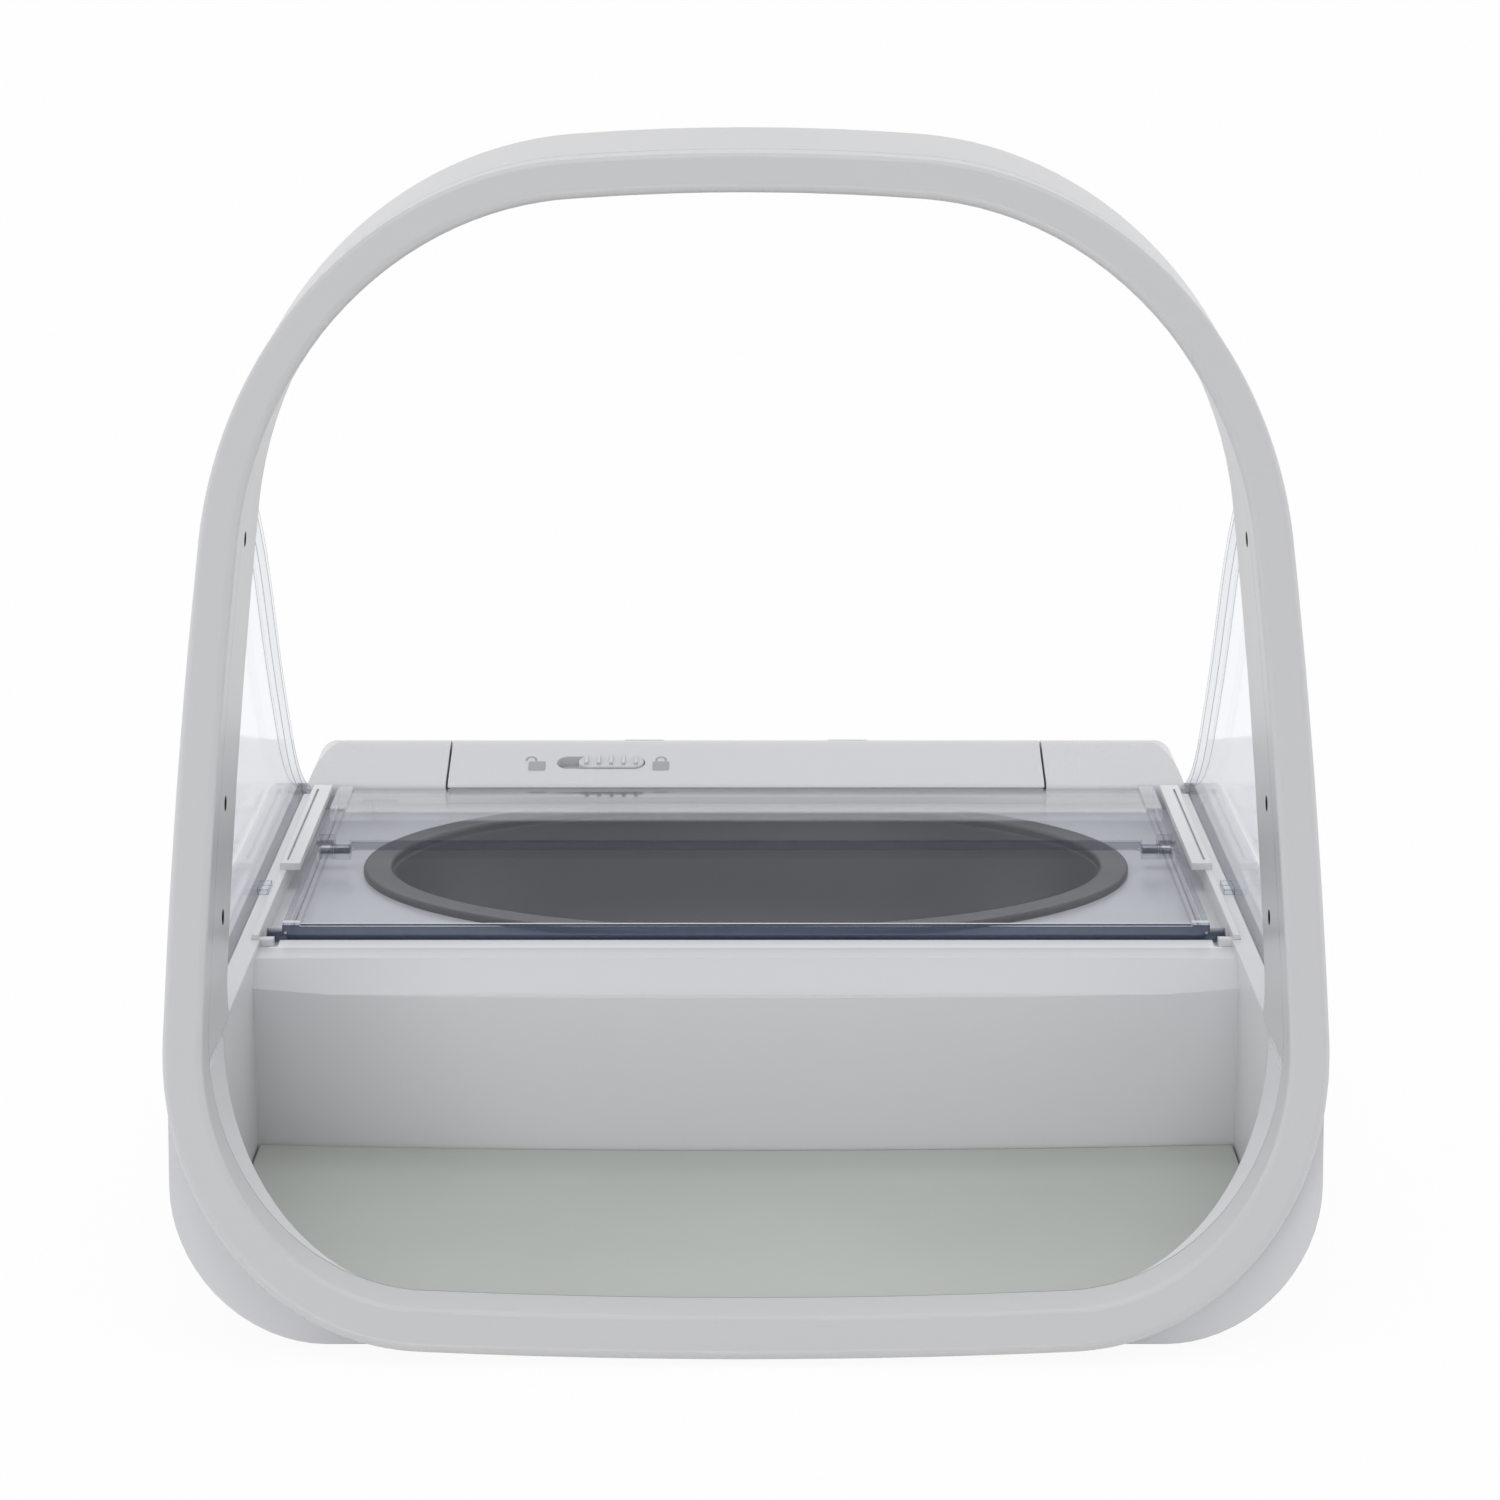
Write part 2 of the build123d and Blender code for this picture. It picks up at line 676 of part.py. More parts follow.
def on_bar(x):
    """The frame of the lock on the bar's upper face, with Z out of it."""
    return Pos(x, slot_y, slot_z) * Rot(math.degrees(top_slope), 0, 0)


slot_mid = (slot_x0 + slot_x1) / 2
slot_cut = extrude(SlotOverall(slot_x1 - slot_x0, slot_width), amount=2 * slot_depth)
barrel = barrel - on_bar(slot_mid) * (Pos(0, 0, -slot_depth) * slot_cut)
save(barrel, "hinge_barrel")

knob_x = slot_x1 - fit_gap - knob_length / 2
knob_low = 0.1 - slot_depth
knob_width = slot_width - 2 * fit_gap
ridge_count = 5
ridge_pitch = (knob_length - knob_width + 1.2) / (ridge_count - 1)
knob = Pos(0, 0, knob_low) * extrude(SlotOverall(knob_length, knob_width), amount=0.5 - knob_low)
knob = fillet(knob.faces().sort_by(Axis.Z)[-1].edges(), 0.4)
for i in range(ridge_count):
    ridge_x = ridge_pitch * (i - (ridge_count - 1) / 2)
    knob = knob + Pos(ridge_x, 0, 0.6) * Box(0.9, knob_width - 1.6, 1.0)
save(on_bar(knob_x) * knob, "lock_slider")

cap = across(teardrop(0), barrel_half + bar_gap, bar_half)
cap_top = axis_z + bar_radius + 0.1
cap_low = axis_z - 2 * bar_radius
cap_in = barrel_half - 12
end_view = make_face(
    [
        Line((cap_in, cap_low), (bar_half, cap_low)),
        Line((bar_half, cap_low), (bar_half, axis_z)),
        ThreePointArc((bar_half, axis_z), (bar_half - 1.6, axis_z + 5.6), (bar_half - 6.5, cap_top)),
        Line((bar_half - 6.5, cap_top), (cap_in, cap_top)),
        Line((cap_in, cap_top), (cap_in, cap_low)),
    ]
)
front_plane = Plane(origin=(0, axis_y + 50, 0), x_dir=(1, 0, 0), z_dir=(0, -1, 0))
cap = cap & extrude(front_plane * end_view, amount=100)
cap = cap - rod_x(cap_in, bar_half - 3.5, axis_y, axis_z, shaft_radius + 0.4)
bush_x = [barrel_half + 4, bar_half - 9]
bush_radius = 4.6
bush_length = 4.0
for x in bush_x:
    cap = cap - rod_x(x - bush_length / 2, x + bush_length / 2, axis_y, axis_z, bush_radius)
save(cap, "end_cap_right")
hub_room = rod_x(gear_x - gear_side, gear_x + gear_side, axis_y, axis_z, 6.2)
left_cap = mirrored(cap) - gear_room - hub_room
save(left_cap, "end_cap_left")

bushes = Part()
for x in bush_x:
    ring = rod_x(x - bush_length / 2, x + bush_length / 2, axis_y, axis_z, bush_radius)
    ring = ring - rod_x(x - 5, x + 5, axis_y, axis_z, shaft_radius + 0.05)
    bushes += ring + mirrored(ring)
save(bushes, "shaft_bushes")

shaft = rod_x(-bar_half + 4.0, bar_half - 4.0, axis_y, axis_z, shaft_radius)
save(shaft, "drive_shaft")


# ----------------------------------------------------------------------- gears
def gear_points(teeth, first, last, tip, root, backlash):
    """Points along a run of involute teeth, centred on angle zero."""
    pitch = module * teeth / 2
    pressure = math.radians(25)
    base_r = pitch * math.cos(pressure)
    half = math.pi / (2 * teeth) - backlash / (2 * pitch)
    inv_pitch = math.tan(pressure) - pressure
    flank = []
    for i in range(5):
        r = max(base_r, root) + (tip - max(base_r, root)) * i / 4
        a = math.acos(min(1.0, base_r / r))
        flank.append((r, half + inv_pitch - (math.tan(a) - a)))
    if root < base_r - 0.01:
        flank = [(root, flank[0][1])] + flank
    points = []
    for tooth in range(first, last + 1):
        mid = tooth * 2 * math.pi / teeth
        rising = [(r, mid - h) for r, h in flank]
        falling = [(r, mid + h) for r, h in reversed(flank)]
        points += rising + falling
    return points


def polar(points, centre, turn):
    """Polar points placed about a centre and turned by an angle."""
    placed = []
    for r, a in points:
        placed.append((centre[0] + r * math.cos(a + turn), centre[1] + r * math.sin(a + turn)))
    return placed


sector_pitch = module * sector_teeth / 2
tip_height = sector_tip - sector_pitch
pinion_pitch = module * pinion_teeth / 2
first_tooth = -1
last_tooth = math.ceil((lid_opening + 6) / (360 / sector_teeth))
arc = gear_points(sector_teeth, first_tooth, last_tooth, sector_tip, sector_pitch - 1.2, 0.16)
down = -math.pi / 2
rim_line = polar(arc, (axis_y, axis_z), down)
sector_face = make_face(Polyline([(axis_y, axis_z)] + rim_line + [(axis_y, axis_z)]))
sector_face = sector_face + Pos(axis_y, axis_z) * Circle(5.4)
window_mid = math.radians((first_tooth + last_tooth) / 2 * 360 / sector_teeth) + down
for i in (-1, 1):
    a = window_mid + i * math.radians(19)
    hole = Pos(axis_y + 11 * math.cos(a), axis_z + 11 * math.sin(a)) * Circle(2.2)
    sector_face = sector_face - hole
sector = across(sector_face, gear_x - gear_width / 2, gear_x + gear_width / 2)
sector = sector - rod_x(-half_width, 0, axis_y, axis_z, shaft_radius)
save(sector, "sector_gear")

pinion_tip = pinion_pitch + tip_height + 0.05
pin_arc = gear_points(pinion_teeth, 0, pinion_teeth - 1, pinion_tip, pinion_pitch - 1.25, 0.16)
half_pitch = math.pi / pinion_teeth
pinion_line = polar(pin_arc, (axis_y, motor_z), math.pi / 2 + half_pitch)
pinion_face = make_face(Polyline(pinion_line + [pinion_line[0]]))
pinion = across(pinion_face, gear_x - gear_width / 2, gear_x + gear_width / 2)
pinion = pinion + rod_x(gear_x - gear_width / 2 - 0.7, wall_out + 3.5, axis_y, motor_z, 1.5)
pinion = pinion + rod_x(gear_x + gear_width / 2, wall_in - 0.6, axis_y, motor_z, 3.2)
save(pinion, "drive_pinion")

box_end = wall_out + 21.5
gearbox = rod_x(wall_out, box_end, axis_y, motor_z, motor_radius)
gearbox = gearbox + rod_x(wall_in, wall_out, axis_y, motor_z, 3.5)
gearbox = gearbox - rod_x(wall_in - 1, wall_out + 4, axis_y, motor_z, 1.55)
stage_core = rod_x(wall_in - 6, box_end + 10, axis_y, motor_z, motor_radius - 0.5)
for i in range(3):
    stage_x = wall_out + 3.5 + 5 * i
    gearbox = gearbox - (rod_x(stage_x, stage_x + 1, axis_y, motor_z, motor_radius + 1) - stage_core)
save(gearbox, "gearbox")

motor_end = box_end + 27.0
motor = rod_x(box_end, motor_end, axis_y, motor_z, motor_radius - 0.4)
motor = chamfer(motor.edges().sort_by(Axis.X)[-1], 1.2)
motor = motor + rod_x(motor_end, motor_end + 1.8, axis_y, motor_z, 3.0)
for side in (-1, 1):
    tag_y = axis_y + side * 5.4
    tag = block(motor_end, motor_end + 3.4, tag_y - 0.2, tag_y + 0.2, motor_z - 1.2, motor_z + 1.2)
    motor = motor + tag
save(motor, "motor")

# ------------------------------------------------------------------- lid panels
relief = knuckle_radius + 0.4


def knuckle(x0, x1, toward):
    """A hinge barrel between x0 and x1 with its web to the panel."""
    web_end = pivot_y + toward * (relief + 0.5)
    body = rod_x(x0, x1, pivot_y, axis_z, knuckle_radius)
    web = block(x0, x1, min(pivot_y, web_end), max(pivot_y, web_end), lid_low, lid_high)
    return body + web


def edge_rib(y0, y1):
    """The raised border along one side of a panel."""
    return block(lid_half - 3.6, lid_half, y0, y1, lid_high, lid_high + 0.9)


def both(shape):
    """A shape and its copy on the other side."""
    return shape + mirrored(shape)


rear_x0 = knuckle_start - knuckle_length - 0.4
rear_x1 = knuckle_start - 0.4
pin_hole = both(rod_x(rear_x0 - 1, half_width, pivot_y, axis_z, 1.0))
nose_clear = math.hypot(axis_y - nose_y, nose_z - axis_z) + nose_radius + 0.6
panel_end = axis_y - nose_clear
rear_panel = block(-lid_half, lid_half, pivot_y + panel_gap / 2, panel_end, lid_low, lid_high)
tongue_half = barrel_half - 0.5
tongue = block(-tongue_half, tongue_half, panel_end - 1, panel_tail, lid_low, lid_high)
rear_panel = rear_panel + tongue + both(edge_rib(pivot_y + relief, panel_end))
rear_notch = block(rear_x1, lid_half + 1, pivot_y - 1, pivot_y + relief, lid_low - 1, lid_high + 3)
rear_panel = rear_panel - both(rear_notch) + both(knuckle(rear_x0, rear_x1, 1)) - pin_hole
save(rear_panel, "rear_lid_panel")

front_end = lid_pin_y - 1.2
front_panel = block(-lid_half, lid_half, front_end, pivot_y - panel_gap / 2, lid_low, lid_high)
lip = block(-lid_half, lid_half, front_end, front_end + 2.6, axis_z - 1.2, lid_high + 0.6)
front_panel = front_panel + lip + both(edge_rib(front_end, pivot_y - relief))
front_notch = block(rear_x0 - 0.4, knuckle_start, pivot_y - relief, pivot_y + 1, lid_low - 1, lid_high + 3)
front_panel = front_panel - both(front_notch) + both(knuckle(knuckle_start, lid_half - 0.4, -1))
front_panel = front_panel - pin_hole
guide_pin = rod_x(lid_half - 1, pin_reach, lid_pin_y, axis_z, pin_radius)
front_panel = front_panel + both(guide_pin)
save(front_panel, "front_lid_panel")

hinge_rod = both(rod_x(rear_x0 + 0.2, lid_half - 0.6, pivot_y, axis_z, 0.95))
save(hinge_rod, "lid_hinge_rod")

# ------------------------------------------------------------ power and control
cell_z = hatch_z + 0.6 + cell_radius
cells = Part()
cell_xs = [cell_reach - cell_length / 2 - i * (cell_length + cell_gap) for i in range(4)]
for x in cell_xs:
    cell = rod_x(x - cell_length / 2, x + cell_length / 2 - 1.2, cell_y, cell_z, cell_radius)
    cells += cell + rod_x(x + cell_length / 2 - 1.2, x + cell_length / 2, cell_y, cell_z, 4.5)
save(cells, "battery_cells")

contacts = Part()
contact = block(contact_x, wall_x, cell_y - 7, cell_y + 7, cell_z - 7, cell_z + 7)
contacts += contact + mirrored(contact)
save(contacts, "battery_contacts")

board_top = board_z + board_thickness
board = block(-board_half, board_half, board_front, board_back, board_z, board_top)
for bx, by in board_posts:
    board = board - post(bx, by, board_z - 1, board_top + 1, 1.3)
save(board, "circuit_board")

chips = Part()
chip_list = ((-8, 0, 12, 12, 1.4), (12, -2, 9, 6, 1.6), (38, -5, 14, 8, 3.2), (-38, -5, 8, 14, 1.8))
for cx, cy, w, l, h in chip_list:
    y = (board_front + board_back) / 2 + cy
    chips += block(cx - w / 2, cx + w / 2, y - l / 2, y + l / 2, board_top, board_top + h)
save(chips, "board_chips")

switches = Part()
switch_top = board_top + 3.2
for x in button_xs:
    body = block(x - 3, x + 3, button_y - 5, button_y + 1, board_top, switch_top - 0.8)
    switches += body + post(x, button_y - 2, switch_top - 0.8, switch_top, 1.6)
save(switches, "board_switches")

board_screws = Part()
for bx, by in board_posts:
    head = post(bx, by, board_z - 1.4, board_z, 2.2)
    board_screws += head + post(bx, by, board_z, board_z + 4.6, 0.9)
save(board_screws, "board_screws")

for x, node in zip(button_xs, ("learn_button", "open_button")):
    crown = Pos(0, 0, -0.6) * Cylinder(button_radius, 4.2)
    crown = fillet(crown.edges().sort_by(Axis.Z)[-1], 0.8)
    collar = Pos(0, 0, -3.3) * Cylinder(button_radius + 1.4, 1.2)
    stem = Pos(0, 0, -4.4) * Cylinder(2.0, 1.2)
    save(on_slope(x) * (crown + collar + stem), node)
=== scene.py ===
import math

import bmesh
import bpy
from mathutils import Matrix, Vector


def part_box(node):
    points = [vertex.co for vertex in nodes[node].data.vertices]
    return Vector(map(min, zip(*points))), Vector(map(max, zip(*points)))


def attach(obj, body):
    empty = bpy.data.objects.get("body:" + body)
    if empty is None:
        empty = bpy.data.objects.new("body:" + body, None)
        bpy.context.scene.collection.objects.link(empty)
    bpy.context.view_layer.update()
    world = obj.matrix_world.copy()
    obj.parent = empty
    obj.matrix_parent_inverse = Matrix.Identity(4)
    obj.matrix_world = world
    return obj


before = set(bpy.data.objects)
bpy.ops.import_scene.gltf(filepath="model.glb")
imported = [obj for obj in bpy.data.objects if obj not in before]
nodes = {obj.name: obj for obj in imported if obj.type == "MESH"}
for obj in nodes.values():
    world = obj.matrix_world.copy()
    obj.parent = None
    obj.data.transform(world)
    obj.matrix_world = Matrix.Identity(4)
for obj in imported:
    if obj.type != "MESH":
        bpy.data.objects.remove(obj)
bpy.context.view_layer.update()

# ---------------------------------------------------------------- camera
# The feeder is seen straight on and from a little above, as on a shop table:
# a long lens about 0.7 m from the hoop, tilted down 14.5 degrees.
sight = bpy.data.cameras.new("sight")
sight.sensor_width = 36.0
sight.lens = 88.8
sight.shift_x = 0.00267
sight.clip_start = 0.01
sight.clip_end = 50.0
eye = bpy.data.objects.new("eye", sight)
eye.location = (0.0, -0.79022, 0.28088)
eye.rotation_euler = (math.radians(90 - 14.5), 0.0, 0.0)
bpy.context.scene.collection.objects.link(eye)
bpy.context.scene.camera = eye
bpy.context.scene.view_settings.view_transform = "Standard"


# ---------------------------------------------------------------- floor and light
# A white paper sweep under and behind the feeder, lit by an even white room,
# a wide soft box overhead, one from the front left and one at each side.
class Link:
    """A value on its way through a material; sums and products of it add nodes."""

    def __init__(self, tree, socket):
        self.tree = tree
        self.socket = socket

    def _join(self, operation, first, second=0.0):
        step = self.tree.nodes.new("ShaderNodeMath")
        step.operation = operation
        for entry, value in zip(step.inputs, (first, second)):
            feed(self.tree, entry, value)
        return Link(self.tree, step.outputs[0])

    def __add__(self, other):
        return self._join("ADD", self, other)

    def __radd__(self, other):
        return self._join("ADD", other, self)

    def __sub__(self, other):
        return self._join("SUBTRACT", self, other)

    def __rsub__(self, other):
        return self._join("SUBTRACT", other, self)

    def __mul__(self, other):
        return self._join("MULTIPLY", self, other)

    def __rmul__(self, other):
        return self._join("MULTIPLY", other, self)

    def __truediv__(self, other):
        return self._join("DIVIDE", self, other)

    def __rtruediv__(self, other):
        return self._join("DIVIDE", other, self)

    def __pow__(self, other):
        return self._join("POWER", self, other)

    def __rpow__(self, other):
        return self._join("POWER", other, self)

    def __gt__(self, other):
        return self._join("GREATER_THAN", self, other)

    def __lt__(self, other):
        return self._join("LESS_THAN", self, other)

    def __abs__(self):
        return self._join("ABSOLUTE", self)

    def clamp(self):
        """The value held between 0 and 1."""
        return self._join("MINIMUM", self._join("MAXIMUM", self), 1.0)


def feed(tree, entry, value):
    """Links a value into a socket, or sets the socket to a number or colour."""
    if isinstance(value, Link):
        tree.links.new(value.socket, entry)
    else:
        entry.default_value = value


class Finish:
    """One surface finish, built node by node."""

    def __init__(self, name):
        self.material = bpy.data.materials.new(name)
        self.material.use_nodes = True
        self.tree = self.material.node_tree
        self.tree.nodes.clear()

    def node(self, kind, settings=None, sockets=None, out=0):
        """Adds a node, sets it up and returns one of its outputs."""
        made = self.tree.nodes.new("ShaderNode" + kind)
        for key, value in (settings or {}).items():
            if key == "stops":
                ramp = made.color_ramp
                while len(ramp.elements) < len(value):
                    ramp.elements.new(0.5)
                for stop, (place, colour) in zip(ramp.elements, value):
                    stop.position = place
                    stop.color = colour
            else:
                setattr(made, key, value)
        for key, value in (sockets or {}).items():
            feed(self.tree, made.inputs[key], value)
        return Link(self.tree, made.outputs[out])

    def place(self, scale=1.0):
        """Positions on the piece in metres, times a scale for each axis."""
        spot = self.node("TexCoord", out=3)
        if isinstance(scale, (int, float)):
            scale = (scale, scale, scale)
        return self.node("VectorMath", {"operation": "MULTIPLY"}, {0: spot, 1: scale})

    def along(self, axis, source=3):
        """One coordinate of the position (source 3) or the facing (source 1) on the piece."""
        return self.node("SeparateXYZ", {}, {0: self.node("TexCoord", out=source)}, out=axis)

    def noise(self, scale, detail=2.0, rough=0.5, stretch=1.0):
        """Cloudy noise between 0 and 1, finer as the scale rises."""
        where = self.place(stretch)
        return self.node(
            "TexNoise", {}, {"Vector": where, "Scale": scale, "Detail": detail, "Roughness": rough}
        )

    def blend(self, factor, first, second):
        """A colour between two colours."""
        return self.node("Mix", {"data_type": "RGBA"}, {0: factor, 6: first, 7: second}, out=2)

    def bump(self, height, strength, distance, edge=0.0):
        """A raised texture for the Normal socket, over edges rounded by a radius."""
        sockets = {"Height": height, "Strength": strength, "Distance": distance}
        if edge:
            sockets["Normal"] = self.node("Bevel", {"samples": 6}, {"Radius": edge})
        return self.node("Bump", {}, sockets)

    def close(self, shader):
        """Sends a shader to the surface and hands back the material."""
        end = self.tree.nodes.new("ShaderNodeOutputMaterial")
        feed(self.tree, end.inputs["Surface"], shader)
        return self.material


def dress(material, *names):
    """Gives CAD pieces a finish."""
    for name in names:
        mesh = nodes[name].data
        mesh.materials.clear()
        mesh.materials.append(material)


paper = Finish("paper_floor")
lit = paper.node("BsdfDiffuse", {}, {"Color": (0.9, 0.9, 0.9, 1.0)})
glow = paper.node("Emission", {}, {"Color": (1.0, 1.0, 1.0, 1.0), "Strength": 1.0})
seen = paper.node("LightPath", out=0) + paper.node("LightPath", out=3) + paper.node("LightPath", out=6)
floor_finish = paper.close(paper.node("MixShader", {}, {0: (seen > 0.5) * 0.93, 1: lit, 2: glow}))

sweep = bmesh.new()
rows = [(-1.6, 0.0), (1.2, 0.0), (1.5, 0.02), (1.72, 0.12), (1.86, 0.3), (1.9, 0.55), (1.9, 2.6)]
strip = [[sweep.verts.new((x, y, z)) for x in (-2.6, 2.6)] for y, z in rows]
for low, high in zip(strip, strip[1:]):
    sweep.faces.new((low[0], low[1], high[1], high[0]))
sweep_mesh = bpy.data.meshes.new("paper_sweep")
sweep.to_mesh(sweep_mesh)
sweep.free()
sweep_mesh.shade_smooth()
sweep_mesh.materials.append(floor_finish)
backdrop = bpy.data.objects.new("paper_sweep", sweep_mesh)
bpy.context.scene.collection.objects.link(backdrop)

room = bpy.data.worlds.new("white_room")
bpy.context.scene.world = room
room.use_nodes = True
room.node_tree.nodes.clear()
air = room.node_tree
path = air.nodes.new("ShaderNodeLightPath")
direct = air.nodes.new("ShaderNodeMath")
direct.operation = "MAXIMUM"
air.links.new(path.outputs["Is Camera Ray"], direct.inputs[0])
air.links.new(path.outputs["Is Transmission Ray"], direct.inputs[1])
dim = air.nodes.new("ShaderNodeBackground")
dim.inputs["Color"].default_value = (0.97, 0.98, 1.0, 1.0)
dim.inputs["Strength"].default_value = 0.53
plain = air.nodes.new("ShaderNodeBackground")
plain.inputs["Color"].default_value = (1.0, 1.0, 1.0, 1.0)
plain.inputs["Strength"].default_value = 1.0
either = air.nodes.new("ShaderNodeMixShader")
air.links.new(direct.outputs[0], either.inputs[0])
air.links.new(dim.outputs[0], either.inputs[1])
air.links.new(plain.outputs[0], either.inputs[2])
sky = air.nodes.new("ShaderNodeOutputWorld")
air.links.new(either.outputs[0], sky.inputs["Surface"])


def soft_box(name, spot, target, width, height, power):
    """A wide area lamp turned towards a point."""
    lamp = bpy.data.lights.new(name, "AREA")
    lamp.shape = "RECTANGLE"
    lamp.size = width
    lamp.size_y = height
    lamp.energy = power
    holder = bpy.data.objects.new(name, lamp)
    holder.location = spot
    holder.rotation_euler = (Vector(target) - Vector(spot)).to_track_quat("-Z", "Y").to_euler()
    bpy.context.scene.collection.objects.link(holder)
    return holder


soft_box("overhead_box", (0.0, 0.1, 3.0), (0.0, 0.0, 0.05), 2.8, 2.6, 29.0)
soft_box("front_box", (-0.7, -3.1, 0.5), (0.0, 0.0, 0.08), 2.2, 1.2, 22.0)
for side in (-1, 1):
    soft_box("side_box", (1.5 * side, 0.1, 0.55), (0.0, 0.0, 0.05), 1.7, 1.4, 6.5)


# ---------------------------------------------------------------- base shell
# The white lower body: front tray with its cheeks and step, side rails, the
# bowl well and the sloping back. Injection moulded with a fine satin texture.
def moulded(
    name, colour, rough=0.36, grain=5200.0, depth=0.00002, cloud=0.012, edge=0.0004, gleam=0.45, marks=None
):
    """Moulded plastic: faint clouding, fine spark texture, softened edges.

    Marks paints places in another colour, painted highlight and painted shade among them: each takes the finish and
    returns a share and a colour.
    """
    skin = Finish(name)
    drift = skin.noise(16.0, 3.0)
    fine = skin.noise(grain, 2.0)
    dark = tuple(c * (1 - 2 * cloud) for c in colour[:3]) + (1.0,)
    base = skin.blend(drift, dark, colour)
    for mark in marks or ():
        share, paint = mark(skin)
        base = skin.blend(share, base, paint)
    surface = {
        "Base Color": base,
        "Roughness": rough - 0.05 + drift * 0.06 + fine * 0.04,
        "Normal": skin.bump(fine, 0.35, depth, edge),
        "Specular IOR Level": gleam,
    }
    return skin.close(skin.node("BsdfPrincipled", {}, surface))


white = moulded("white_satin", (0.70, 0.70, 0.715, 1.0), 0.24)
lip_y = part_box("front_lid_panel")[0][1]
rim_z = 0.0465


def painted_rim_highlight(skin):
    """Painted highlight: a paler strip along the rim that the lid's front lip lies on, standing in for light caught
    on that edge.
    """
    ahead = (skin.along(1) > lip_y - 0.006) * (skin.along(1) < lip_y + 0.003)
    level = abs(skin.along(2) - rim_z) < 0.0003
    return ahead * level * (abs(skin.along(0)) < 0.1), (0.95, 0.95, 0.96, 1.0)


dress(moulded("base_white", (0.70, 0.70, 0.715, 1.0), 0.24, marks=[painted_rim_highlight]), "base_shell")

# ---------------------------------------------------------------- hoop
# The leaning ring that the pet puts its head through: a white front cover
# snapped onto a white rear housing, with the antenna winding between them.
lean = math.tan(math.radians(28.0))
seam_y = min(v.co.y - v.co.z * lean for v in nodes["hoop_rear_housing"].data.vertices)


def seam_line(skin):
    """The hair-line joint between cover and housing, on the leaning plane."""
    away = abs(skin.along(1) - skin.along(2) * lean - seam_y)
    return (1.0 - away / 0.0004).clamp() * 0.7, (0.2, 0.2, 0.22, 1.0)


def painted_bore_shade(skin):
    """Painted shade: the six small bores of the light gates, with a thin ring round each, painted black where the
    bores lie in shadow.
    """
    found = None
    for y, z, reach in eye_spots:
        side = abs(skin.along(1) - y) ** 2.0 + abs(skin.along(2) - z) ** 2.0
        inside = (side < 0.0016**2) * (abs(skin.along(0)) < reach)
        found = inside if found is None else found + inside
    return found.clamp(), (0.012, 0.01, 0.016, 1.0)


sight_bits = bmesh.new()
sight_bits.from_mesh(nodes["light_receivers"].data)
left_over = set(sight_bits.verts)
eye_spots = []
while left_over:
    island = {left_over.pop()}
    edge = list(island)
    while edge:
        vert = edge.pop()
        for joined in (e.other_vert(vert) for e in vert.link_edges):
            if joined in left_over:
                left_over.discard(joined)
                island.add(joined)
                edge.append(joined)
    ys = [v.co.y for v in island]
    zs = [v.co.z for v in island]
    reach = min(v.co.x for v in island) + 0.0022
    eye_spots.append(((min(ys) + max(ys)) / 2, (min(zs) + max(zs)) / 2, reach))
sight_bits.free()
# Painted shade: cover and housing are the same white plastic as the base, set darker here (0.585 against 0.70) so the
# hoop's lamp-facing faces come out less bright.
hoop_shaded_white = moulded("hoop_shaded_white", (0.585, 0.585, 0.595, 1.0), 0.3, 5600.0, 0.000015, marks=[seam_line])
dress(hoop_shaded_white, "hoop_front_cover")
housing_shaded_white = moulded(
    "housing_shaded_white", (0.585, 0.585, 0.595, 1.0), 0.3, 5600.0, 0.000015, marks=[seam_line, painted_bore_shade]
)
dress(housing_shaded_white, "hoop_rear_housing")

copper = Finish("enamelled_copper")
turns = copper.node(
    "TexWave",
    {"wave_type": "BANDS", "bands_direction": "Y"},
    {"Vector": copper.place(), "Scale": 640.0, "Distortion": 0.6, "Detail": 1.0},
)
copper_look = {
    "Base Color": copper.blend(turns, (0.26, 0.07, 0.02, 1.0), (0.62, 0.24, 0.1, 1.0)),
    "Metallic": 1.0,
    "Roughness": 0.22 + turns * 0.14,
    "Normal": copper.bump(turns, 0.6, 0.00015),
    "Coat Weight": 0.5,
}
dress(copper.close(copper.node("BsdfPrincipled", {}, copper_look)), "antenna_coil")

# ---------------------------------------------------------------- light sensors
# Dark lenses of the light gates that look across the hoop behind small holes,
# in a black plastic that only lets infrared light through.
lens = moulded("dark_lens", (0.012, 0.01, 0.016, 1.0), 0.5, 900.0, 0.00001, 0.1, 0.0001, 0.12)
dress(lens, "light_emitters", "light_receivers")


